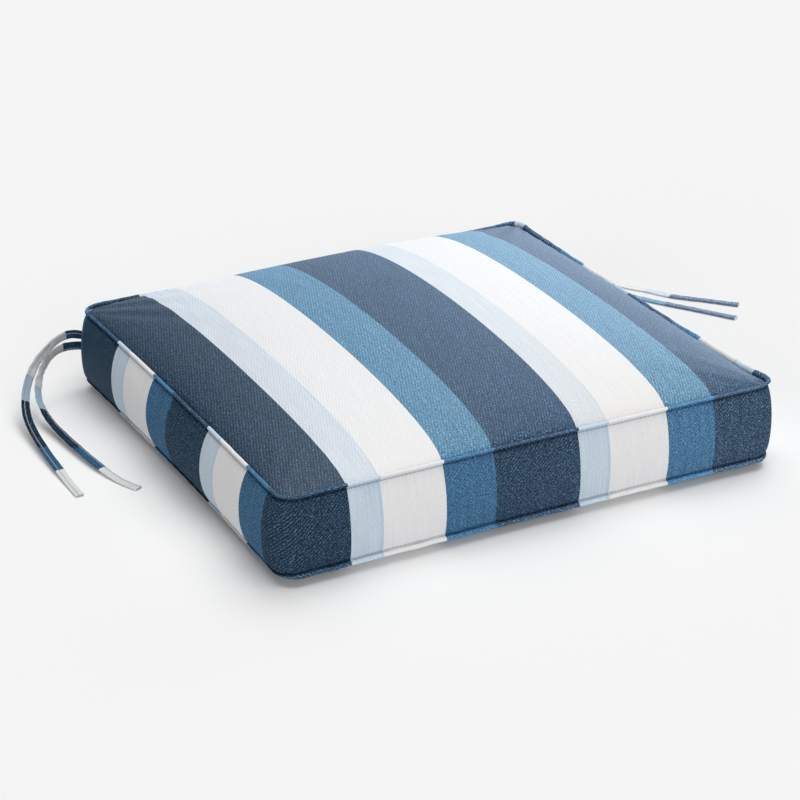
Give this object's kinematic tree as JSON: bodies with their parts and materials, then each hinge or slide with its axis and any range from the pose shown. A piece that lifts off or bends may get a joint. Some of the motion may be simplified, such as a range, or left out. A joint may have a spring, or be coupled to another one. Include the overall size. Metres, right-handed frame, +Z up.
{
  "type": "chair cushion",
  "caption": "Square box-edge chair cushion with a crowned top, drawn-in sides, a welt round each seam and flat ties at the back corners.",
  "frame": {"origin": "on the floor under the middle of the cushion, ties left out", "axes": "+Z up through the cushion's thickness, -Y out of the front, +X to the right; the ties leave the two back corners"},
  "size_m": [0.8134, 0.5436, 0.127],
  "materials": {
    "shell_cloth": "woven canvas in wide navy, light blue, white and mid blue stripes",
    "welt_cloth": "the same striped canvas, pinched into a ridge and stitched",
    "tie_cloth": "the same striped canvas, folded and edge stitched"
  },
  "bodies": {
    "root": {"cushion": "shell_cloth", "welt_top": "welt_cloth", "welt_bottom": "welt_cloth", "tie_left_upper": "tie_cloth", "tie_left_lower": "tie_cloth", "tie_right_upper": "tie_cloth", "tie_right_lower": "tie_cloth"}
  },
  "joints": []
}
